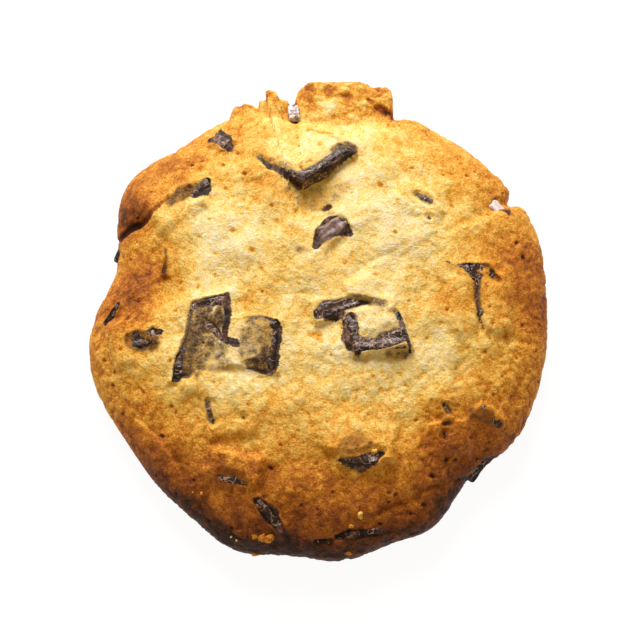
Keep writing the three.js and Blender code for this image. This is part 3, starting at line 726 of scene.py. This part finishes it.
def dough_height(x, y):
    """Height of the dough's top, how thinly it lies over chocolate, and distance to bare chocolate."""
    height = bare_height(x, y)
    flat = np.stack([x, y, np.zeros_like(x)], axis=1)
    bent_x = x + layered_noise(flat, WANDER, 81)
    bent_y = y + layered_noise(flat, WANDER, 83)
    patchy = soft_noise(flat, 0.8, 85)
    thin = np.zeros_like(x)
    edge = np.full(len(x), NO_EDGE)
    for name, face in FACES.items():
        u, v = face.local(bent_x, bent_y)
        plane = face.plane(x, y)
        for u0, u1, v0, v1 in face.covers:
            outside = np.hypot(past_stretch(u, u0, u1, face.size[0] / 2),
                               past_stretch(v, v0, v1, face.size[1] / 2))
            weight = 1 - fade_in(outside)
            height = height + weight * np.maximum(0, plane + FILM - height)
        inside = face.inside(u, v)
        skin = plane + face.skin * (1 + SKIN_UNEVEN * patchy)
        height = height + fade_in(inside + 0.5) * np.maximum(0, skin - height)
        distance = stroke_distance(bent_x, bent_y, BANDS[name])
        on_face = fade_in((inside - 0.2) / 0.8)
        past = distance * (1 - LIP_EASE * on_face)
        lip = plane + np.where(distance < 0, np.maximum(distance, -BAND_DEPTH), past)
        height = np.where(distance < LIP_REACH, np.minimum(height, lip), height)
        thin = np.maximum(thin, EDGE_FILM * on_face * (1 - fade_in(distance / EDGE_FILM_WIDTH)))
        edge = np.minimum(edge, distance)
    for strength, stroke in FILMS_AND_SHADE:
        past = stroke_distance(bent_x, bent_y, [stroke])
        thin = np.maximum(thin, strength * (1 - fade_in(past / FILM_SOFTNESS + 0.5)))
    return height, thin, edge


def stitch(outer, outer_count, inner, inner_count):
    """Triangles that join two rings of points that go the same way round."""
    faces = []
    i = j = 0
    while i < outer_count or j < inner_count:
        a, b = outer + i % outer_count, inner + j % inner_count
        if j == inner_count or (i < outer_count and (i + 1) * inner_count <= (j + 1) * outer_count):
            i += 1
            faces.append((b, a, outer + i % outer_count))
        else:
            j += 1
            faces.append((b, a, inner + j % inner_count))
    return faces


def ring_points(count, radius_at, height):
    """Points of a level ring whose radius depends on the angle."""
    deg = np.arange(count) * 360 / count
    radius, turn = radius_at(deg), np.radians(deg)
    return np.stack([radius * np.cos(turn), radius * np.sin(turn), np.full(count, height)], axis=1)


def dough_rings():
    """Rings from the middle of the top, out over the rim, down the side and in to the middle below."""
    rings = [np.zeros((1, 3))]
    for step in range(1, TOP_RINGS + 1):
        reach = 1 - (1 - step / TOP_RINGS) ** RING_SPREAD
        rings.append(ring_points(RING_STEP * step, lambda deg: rim_edge(deg) * reach, 0.0))
    for level in range(1, WALL_LEVELS + 1):
        bend = level / WALL_LEVELS * math.pi / 2
        inset = UNDERCUT * (1 - math.cos(bend))
        rise = RIM_HEIGHT * (1 - math.sin(bend))
        rings.append(ring_points(RING_STEP * TOP_RINGS, lambda deg: rim_edge(deg) - inset, rise))
    for step in range(BASE_RINGS - 1, 0, -1):
        share = step / BASE_RINGS
        rings.append(ring_points(RING_STEP * step, lambda deg: (dome_edge(deg) - UNDERCUT) * share, 0.0))
    return rings + [np.zeros((1, 3))]


def dough_shell():
    """Points and triangles of the whole biscuit before its fine relief."""
    rings = dough_rings()
    counts = [len(ring) for ring in rings]
    points = np.concatenate(rings)
    top = sum(counts[:TOP_RINGS + 1])
    height, thin, edge = dough_height(points[:top, 0], points[:top, 1])
    points[:top, 2] = height
    points[top - counts[TOP_RINGS]:top, 2] = RIM_HEIGHT
    faces = []
    start = 0
    for before, after in zip(counts, counts[1:]):
        if after > before:
            faces += stitch(start + before, after, start, before)
        else:
            faces += [(a, c, b) for a, b, c in stitch(start, before, start + before, after)]
        start += before
    rest = len(points) - top
    thin = np.concatenate([thin, np.zeros(rest)])
    edge = np.concatenate([edge, np.full(rest, NO_EDGE)])
    return points, np.array(faces), thin, edge


def vertex_normals(points, faces):
    a, b, c = (points[faces[:, corner]] for corner in range(3))
    normal = np.cross(b - a, c - a)
    total = np.zeros_like(points)
    for corner in range(3):
        for axis in range(3):
            total[:, axis] += np.bincount(faces[:, corner], weights=normal[:, axis], minlength=len(points))
    return total / np.maximum(np.linalg.norm(total, axis=1, keepdims=True), 1e-9)


def crust_pits(points, bent_x, bent_y):
    """How deep the scattered small pits and the larger ones go, from 0 to 1."""
    near, _, owner = cell_noise(points, PIT_SPACING, 31)
    small = (owner > PIT_FREE) * (1 - fade_in(near / (0.1 + 0.16 * owner)))
    marks = [[(x, y, radius / 2), (x + 0.2, y - 0.1, radius / 2)] for x, y, radius in PITS]
    large = 1 - fade_in(stroke_distance(bent_x, bent_y, marks) / 0.45 + 0.4)
    return np.clip(small + large, 0, 1)


def crust_lumps(points, warp, crags):
    """Rounded lumps with crevices between them, and the crumb of the torn crust."""
    at = (points[:, :2] - BUBBLED_AT) / BUBBLED_SPREAD
    bubbled = np.exp(-(at**2).sum(axis=1))
    near, second, _ = cell_noise(points + 0.9 * warp, LUMP_SIZE, 11)
    patchy = fade_in(0.5 + soft_noise(points, 5.0, 16) + 0.6 * bubbled)
    crevice = CREVICE_DEPTH * patchy * (1 - fade_in((second - near) / CREVICE_WIDTH))
    lumps = (0.5 - near) * (LUMP_HEIGHT + BUBBLED_HEIGHT * bubbled) - crevice
    crumb_near, _, _ = cell_noise(points + 0.4 * warp, CRUMB_SIZE, 17)
    crumb = (0.5 - crumb_near) * CRUMB_HEIGHT + CRAG_HEIGHT * soft_noise(points, 2.6, 18)
    return (1 - crags) * lumps + crags * crumb


def fine_relief(points, thin, edge):
    """Height of lumps, grains, furrows and pits along the surface's normal, and how deep the pits are."""
    x, y = points[:, 0], points[:, 1]
    deg, radius = angle_of(x, y), np.hypot(x, y)
    crags = fade_in((radius - dome_edge(deg) + 0.5) / 1.5)
    warp = np.stack([soft_noise(points, 2.2, 51 + axis) for axis in range(3)], axis=1)
    lumps = crust_lumps(points, warp, crags)
    rough = ROUGHNESS * soft_noise(points, 1.5, 15) * (1 + 2 * crags)
    grain = layered_noise(points, GRAINS, 12)
    bent_x, bent_y = (points[:, :2] + 0.3 * warp[:, :2]).T
    furrow = 1 - fade_in(stroke_distance(bent_x, bent_y, GROOVES) / 0.35 + 0.3)
    pits = crust_pits(points, bent_x, bent_y)
    on_top = fade_in((points[:, 2] - 2) / 2)
    calm = (1 - 0.6 * thin) * (1 - 0.8 * (1 - fade_in(edge / 0.3)))
    side = fade_in((radius / rim_edge(deg) - 0.97) / 0.03)
    depth = (lumps + rough + grain) * calm * (1 + 0.4 * side)
    depth = depth - GROOVE_DEPTH * furrow * on_top - PIT_DEPTH * pits * on_top - DRAWN_IN
    folded = np.where(depth > -SIDE_LIMIT, -SIDE_LIMIT - SIDE_FOLD * (depth + SIDE_LIMIT), depth)
    depth = depth + side * (folded - depth)
    return depth, np.maximum(pits, 0.7 * furrow) * on_top


def browned(value, start, over, amount):
    return amount * fade_in((value - start) / over)


def bake_level(points, depth, pits):
    """How brown the crust is, from 0, pale, to 1, dark, with painted shade added in its hollows, pits and
    furrows and on the near rim.
    """
    x, y, z = points.T
    radius, deg = np.hypot(x, y), angle_of(x, y)
    reach = radius / rim_edge(deg)
    level = BASE_BROWN + browned(reach, *RIM_BROWN) + browned(-y, *NEAR_BROWN)
    level = level + browned(radius - dome_edge(deg), *FLAP_BROWN)
    # Near rim darker, partly browning and partly painted shade
    level = level + browned(reach, *NEAR_RIM_BROWN_AND_SHADE) * browned(-y, *NEAR_RIM_REACH)
    level = level + browned(RIM_HEIGHT - z, *FOOT_BROWN)
    for at_x, at_y, spread, change in BAKE_AND_SHADE_PATCHES:
        level = level + change * np.exp(-((x - at_x) ** 2 + (y - at_y) ** 2) / spread**2)
    level = level + layered_noise(points, BROWN_NOISE, 61)
    # Painted shade: hollows browner and rises paler by depth; pits and furrows browner, partly as painted
    # shade
    level = level - PAINTED_SHADE_BY_DEPTH * depth + PITS_BROWNED_AND_SHADED * pits
    return np.clip(level, 0, 1)


def make_mesh(name, points, faces, attributes=()):
    mesh = bpy.data.meshes.new(name)
    shifted = (np.asarray(points) - (MIDDLE[0], MIDDLE[1], 0)) * MM
    mesh.from_pydata(shifted.tolist(), [], np.asarray(faces).tolist())
    for key, values in attributes:
        layer = mesh.attributes.new(key, "FLOAT", "POINT")
        layer.data.foreach_set("value", np.asarray(values, dtype=np.float32))
    mesh.polygons.foreach_set("use_smooth", [True] * len(mesh.polygons))
    piece = bpy.data.objects.new(name, mesh)
    bpy.context.scene.collection.objects.link(piece)
    return piece


def make_dough():
    points, faces, thin, edge = dough_shell()
    normals = vertex_normals(points, faces)
    side = side_distance(points + 0.3 * soft_noise(points, 1.2, 86)[:, None])
    edge = np.minimum(edge, side)
    thin = np.maximum(thin, SIDE_FILM * (1 - fade_in(side)))
    depth, pits = fine_relief(points, thin, edge)
    depth = depth - SIDE_DEPTH * (1 - fade_in(side / 0.8 + 0.5))
    depth = np.where(points[:, 2] < 0.01, 0, depth)
    points = points + normals * depth[:, None]
    points[:, 2] = np.maximum(points[:, 2], 0)
    level = bake_level(points, depth, pits)
    return make_mesh("dough_skin", points, faces, [("bake", level), ("thin", thin), ("edge", edge)])


def box_grid(counts):
    """Points on a box's skin, from -1 to 1, shared along the edges, and its quads."""
    index = {}
    faces = []
    for axis in range(3):
        first, second = (axis + 1) % 3, (axis + 2) % 3
        for side in (0, counts[axis]):
            for i, j in itertools.product(range(counts[first]), range(counts[second])):
                quad = []
                for di, dj in ((0, 0), (1, 0), (1, 1), (0, 1)):
                    key = [0, 0, 0]
                    key[axis], key[first], key[second] = side, i + di, j + dj
                    quad.append(index.setdefault(tuple(key), len(index)))
                faces.append(quad if side else quad[::-1])
    return np.array(list(index)) * 2 / np.array(counts) - 1, np.array(faces)


def block_points(grid, size, lean, taper):
    """A broken block with melted edges: top face at local z = 0."""
    half = np.array(size) / 2 - BLOCK_INSET
    edge = min(BLOCK_ROUND, half.min() * BLOCK_ROUND_SHARE)
    outer = grid * half
    inner = np.clip(outer, edge - half, half - edge)
    push = outer - inner
    reach = np.linalg.norm(push, axis=1, keepdims=True)
    points = np.where(reach > 1e-6, inner + push / np.maximum(reach, 1e-9) * edge, outer)
    u, v, w = points.T
    v = v * (1 - taper * u / half[0])
    u = u + lean * v
    return np.stack([u, v, w - half[2] - BLOCK_SINK], axis=1)


def make_chunk(name, size, seat, lean, taper, seed):
    grid, quads = box_grid([max(4, round(length / BLOCK_STEP)) for length in size])
    points = block_points(grid, size, lean, taper)
    triangles = np.concatenate([quads[:, [0, 1, 2]], quads[:, [0, 2, 3]]])
    normals = vertex_normals(points, triangles)
    spot = points + seed * BLOCK_APART
    crinkle = 1 - np.abs(soft_noise(spot * (0.7, 1.8, 1), 1.7, 74)) * 2
    depth = layered_noise(spot, BLOCK_DENTS, 71) + BLOCK_CRINKLE * crinkle - BLOCK_SHRINK
    points = points + normals * depth[:, None]
    points = points @ np.array(seat.to_3x3()).T + np.array(seat.translation)
    points[:, 2] = np.maximum(points[:, 2], BLOCK_LOWEST)
    return make_mesh(name + "_block", points, quads)


def crumb_mesh(place, radius, seed):
    """A small irregular lump."""
    grid, quads = box_grid([5, 5, 5])
    points = grid / np.linalg.norm(grid, axis=1, keepdims=True)
    lumpy = 1 + 0.5 * soft_noise(points + seed * 7.0, 0.6, 91) + 0.3 * soft_noise(points + seed, 0.3, 92)
    stretch = 0.5 + 0.8 * lattice(np.array([seed, 0, 0]) + np.eye(3), 93)
    return points * lumpy[:, None] * radius * stretch + place, quads


def make_crumbs():
    points, faces, levels = [], [], []
    start = 0
    for seed, (x, y, z, radius, level) in enumerate(CRUMBS):
        lump, quads = crumb_mesh(np.array([x, y, z]), radius, seed)
        points.append(lump)
        faces.append(quads + start)
        levels.append(np.full(len(lump), level))
        start += len(lump)
    levels = np.concatenate(levels)
    attributes = [("bake", levels), ("thin", levels * 0), ("edge", levels * 0 + NO_EDGE)]
    return make_mesh("crumbs", np.concatenate(points), np.concatenate(faces), attributes)


def add_node(tree, kind, inputs=None, **settings):
    made = tree.nodes.new(kind)
    for key, value in settings.items():
        setattr(made, key, value)
    for key, value in (inputs or {}).items():
        socket = made.inputs[key]
        if isinstance(value, bpy.types.NodeSocket):
            tree.links.new(value, socket)
        else:
            socket.default_value = value
    return made


def mix_colour(tree, factor, a, b, blend="MIX"):
    mix = add_node(tree, "ShaderNodeMix", {0: factor, 6: a, 7: b}, data_type="RGBA", blend_type=blend,
                   clamp_factor=True)
    return mix.outputs[2]


def mix_value(tree, factor, a, b):
    return add_node(tree, "ShaderNodeMix", {0: factor, 2: a, 3: b}, clamp_factor=True).outputs[0]


def maths(tree, operation, *values):
    return add_node(tree, "ShaderNodeMath", dict(enumerate(values)), operation=operation).outputs[0]


def sum_of(tree, base, *terms):
    """Adds value times weight for each (value, middle, weight) term."""
    total = base
    for value, middle, weight in terms:
        total = maths(tree, "MULTIPLY_ADD", maths(tree, "SUBTRACT", value, middle), weight, total)
    return total


def between(tree, value, low, high):
    """0 at or below low, 1 at or above high, smooth between. Low may be the larger."""
    made = add_node(tree, "ShaderNodeMapRange", {"Value": value, "From Min": low, "From Max": high},
                    interpolation_type="SMOOTHSTEP")
    return made.outputs["Result"]


def ramp(tree, factor, stops):
    made = add_node(tree, "ShaderNodeValToRGB", {"Fac": factor})
    elements = made.color_ramp.elements
    while len(elements) < len(stops):
        elements.new(0.5)
    for element, (position, colour) in zip(elements, stops):
        element.position = position
        element.color = linear(colour)
    return made.outputs["Color"]


def linear(colour):
    """Scene colour of a screen colour from 0 to 255."""
    parts = [part / 255 for part in colour]
    return (*(part / 12.92 if part < 0.04045 else ((part + 0.055) / 1.055) ** 2.4 for part in parts), 1)


def noise(tree, place, size, detail=2.0, roughness=0.5):
    inputs = {"Vector": place, "Scale": 1 / (size * MM), "Detail": detail, "Roughness": roughness}
    return add_node(tree, "ShaderNodeTexNoise", inputs).outputs["Fac"]


def attribute(tree, name):
    return add_node(tree, "ShaderNodeAttribute", attribute_name=name).outputs["Fac"]


def new_material(name):
    material = bpy.data.materials.new(name)
    material.use_nodes = True
    material.node_tree.nodes.clear()
    return material, material.node_tree


def finish_material(tree, shader):
    output = add_node(tree, "ShaderNodeOutputMaterial")
    tree.links.new(shader.outputs[0], output.inputs["Surface"])


def chocolate_colour(tree, place, stops):
    broad = noise(tree, place, 2.2, 2.0, 0.5)
    crinkle = noise(tree, place, 0.6, 2.0, 0.6)
    return ramp(tree, sum_of(tree, broad, (crinkle, 0.5, 0.9)), stops)


def seam(tree, place, size, width):
    """Thin winding lines, 1 along their middle."""
    off = maths(tree, "SUBTRACT", noise(tree, place, size), 0.5)
    return between(tree, maths(tree, "ABSOLUTE", off), width, 0.0)


def dough_material():
    material, tree = new_material("baked_dough")
    place = add_node(tree, "ShaderNodeTexCoord").outputs["Object"]
    bake, thin, edge = (attribute(tree, name) for name in ("bake", "thin", "edge"))
    fine = noise(tree, place, FINE_GRAIN, 2.0, 0.7)
    coarse = noise(tree, place, COARSE_GRAIN, 2.0, 0.6)
    # The grain's colour follows the bump's height: paler on its tops and browner in its dips, partly
    # painted shade
    level = sum_of(tree, bake, (fine, 0.5, mix_value(tree, bake, -1.0, -0.2)), (coarse, 0.5, -0.25))
    colour = ramp(tree, level, BAKE_STOPS)
    film = between(tree, sum_of(tree, thin, (coarse, 0.5, 0.8)), 0.0, 0.8)
    shown = sum_of(tree, maths(tree, "MULTIPLY", thin, 0.6), (fine, 0.5, 1.2), (coarse, 0.5, 1.1))
    # The film tint; where film strokes stand for shade, it is painted shade
    colour = mix_colour(tree, film, colour, ramp(tree, shown, FILM_STOPS), "MULTIPLY")
    ragged = sum_of(tree, edge, (fine, 0.5, 0.6), (coarse, 0.5, 0.8))
    bare = between(tree, ragged, 0.18, -0.16)
    colour = mix_colour(tree, bare, colour, chocolate_colour(tree, place, DARK_STOPS))
    bump_height = sum_of(tree, fine, (coarse, 0.5, 0.8))
    bump = add_node(tree, "ShaderNodeBump", {"Strength": 0.8, "Distance": 0.0003, "Height": bump_height})
    shader = add_node(tree, "ShaderNodeBsdfPrincipled", {
        "Base Color": colour, "Roughness": mix_value(tree, bare, 0.65, 0.5),
        "Normal": bump.outputs["Normal"], "Specular IOR Level": 0.32,
        "Subsurface Weight": 0.3, "Subsurface Radius": (1.0, 0.45, 0.15), "Subsurface Scale": 0.001,
    })
    finish_material(tree, shader)
    return material


def chocolate_material(name, stops, crinkled, smooth, rough, gloss):
    material, tree = new_material(name + "_chocolate")
    place = add_node(tree, "ShaderNodeTexCoord").outputs["Object"]
    fine = noise(tree, place, 0.5, 3.0, 0.6)
    crinkle = noise(tree, place, 1.0, 2.0, 0.5)
    folds = sum_of(tree, crinkle, (fine, 0.5, 0.5))
    bump = add_node(tree, "ShaderNodeBump", {"Strength": crinkled, "Distance": 0.00025, "Height": folds})
    # Painted shade: dark winding lines for the shade in hairline cracks
    painted_crack_shade = maths(tree, "MULTIPLY", seam(tree, place, 2.4, 0.035), crinkled)
    # Painted highlights: thin pale lines of glint colour
    painted_glints = maths(tree, "MULTIPLY", seam(tree, place, 1.9, 0.022), crinkled)
    colour = mix_colour(tree, painted_crack_shade, chocolate_colour(tree, place, stops), linear(CRACK_SHADE_COLOUR))
    colour = mix_colour(tree, painted_glints, colour, linear(PAINTED_GLINT_COLOUR))
    shader = add_node(tree, "ShaderNodeBsdfPrincipled", {
        "Base Color": colour, "Roughness": mix_value(tree, fine, smooth, rough),
        "Normal": bump.outputs["Normal"], "Specular IOR Level": gloss,
    })
    finish_material(tree, shader)
    return material


def floor_material():
    material, tree = new_material("pale_floor")
    shader = add_node(tree, "ShaderNodeBsdfPrincipled", {
        "Base Color": (0.12, 0.12, 0.12, 1), "Roughness": 0.9, "Specular IOR Level": 0.0,
        "Emission Color": (1, 1, 1, 1), "Emission Strength": FLOOR_GLOW,
    })
    finish_material(tree, shader)
    return material


def make_floor():
    corners = [(-1, -1), (1, -1), (1, 1), (-1, 1)]
    points = [(x * FLOOR_HALF, y * FLOOR_HALF, FLOOR_LEVEL) for x, y in corners]
    mesh = bpy.data.meshes.new("floor")
    mesh.from_pydata(points, [], [(0, 1, 2, 3)])
    floor = bpy.data.objects.new("floor", mesh)
    bpy.context.scene.collection.objects.link(floor)
    floor.data.materials.append(floor_material())


def add_facing(name, data, location, away):
    """Adds a light or camera whose back is turned to the direction given."""
    added = bpy.data.objects.new(name, data)
    added.location = location
    added.rotation_mode = "QUATERNION"
    added.rotation_quaternion = away.to_track_quat("Z", "Y")
    bpy.context.scene.collection.objects.link(added)
    return added


def area_light(name, azimuth, elevation, distance, size, power):
    """A soft light round the cookie: azimuth is turned from +X to +Y."""
    light = bpy.data.lights.new(name, "AREA")
    light.shape = "DISK"
    light.size = size
    light.energy = power
    a, e = math.radians(azimuth), math.radians(elevation)
    away = Vector((math.cos(a) * math.cos(e), math.sin(a) * math.cos(e), math.sin(e)))
    add_facing(name, light, away * distance, away)


def make_lights():
    world = bpy.data.worlds.new("studio")
    world.use_nodes = True
    background = world.node_tree.nodes["Background"]
    background.inputs["Color"].default_value = SKY_COLOUR
    background.inputs["Strength"].default_value = SKY_STRENGTH
    bpy.context.scene.world = world
    area_light("key", **KEY_LIGHT)


def make_camera():
    """Looks down on the cookie from its near side."""
    elevation = math.radians(CAMERA_ELEVATION)
    aim = Vector((-MIDDLE[0], -MIDDLE[1] - AIM_NEARER, AIM_HEIGHT)) * MM
    back = Vector((0, -math.cos(elevation), math.sin(elevation)))
    data = bpy.data.cameras.new("camera")
    data.lens = CAMERA_LENS
    data.sensor_width = SENSOR_WIDTH
    data.clip_start = 0.01
    location = aim + back * CAMERA_DISTANCE * MM
    bpy.context.scene.camera = add_facing("camera", data, location, back)


def dress(piece, node, material):
    piece.data.materials.append(material)
    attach(piece, "root")
    if node:
        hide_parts(node)


def main():
    bpy.context.scene.view_settings.view_transform = "Standard"
    make_camera()
    make_floor()
    make_lights()
    baked = dough_material()
    dress(make_dough(), "dough", baked)
    dress(make_crumbs(), None, baked)
    chocolate = {name: chocolate_material(name, *look) for name, look in LOOKS.items()}
    for seed, (name, face) in enumerate(FACES.items()):
        block = make_chunk(name, face.size, face.seat(), face.lean, face.taper, seed)
        dress(block, name, chocolate[CHUNK_LOOKS.get(name, "dark")])
    for seed, (name, chunk) in enumerate(EDGE_CHUNKS.items(), start=len(FACES)):
        block = make_chunk(name, chunk["size"], edge_seat(chunk), 0, 0, seed)
        dress(block, name, chocolate[CHUNK_LOOKS.get(name, "dark")])


main()
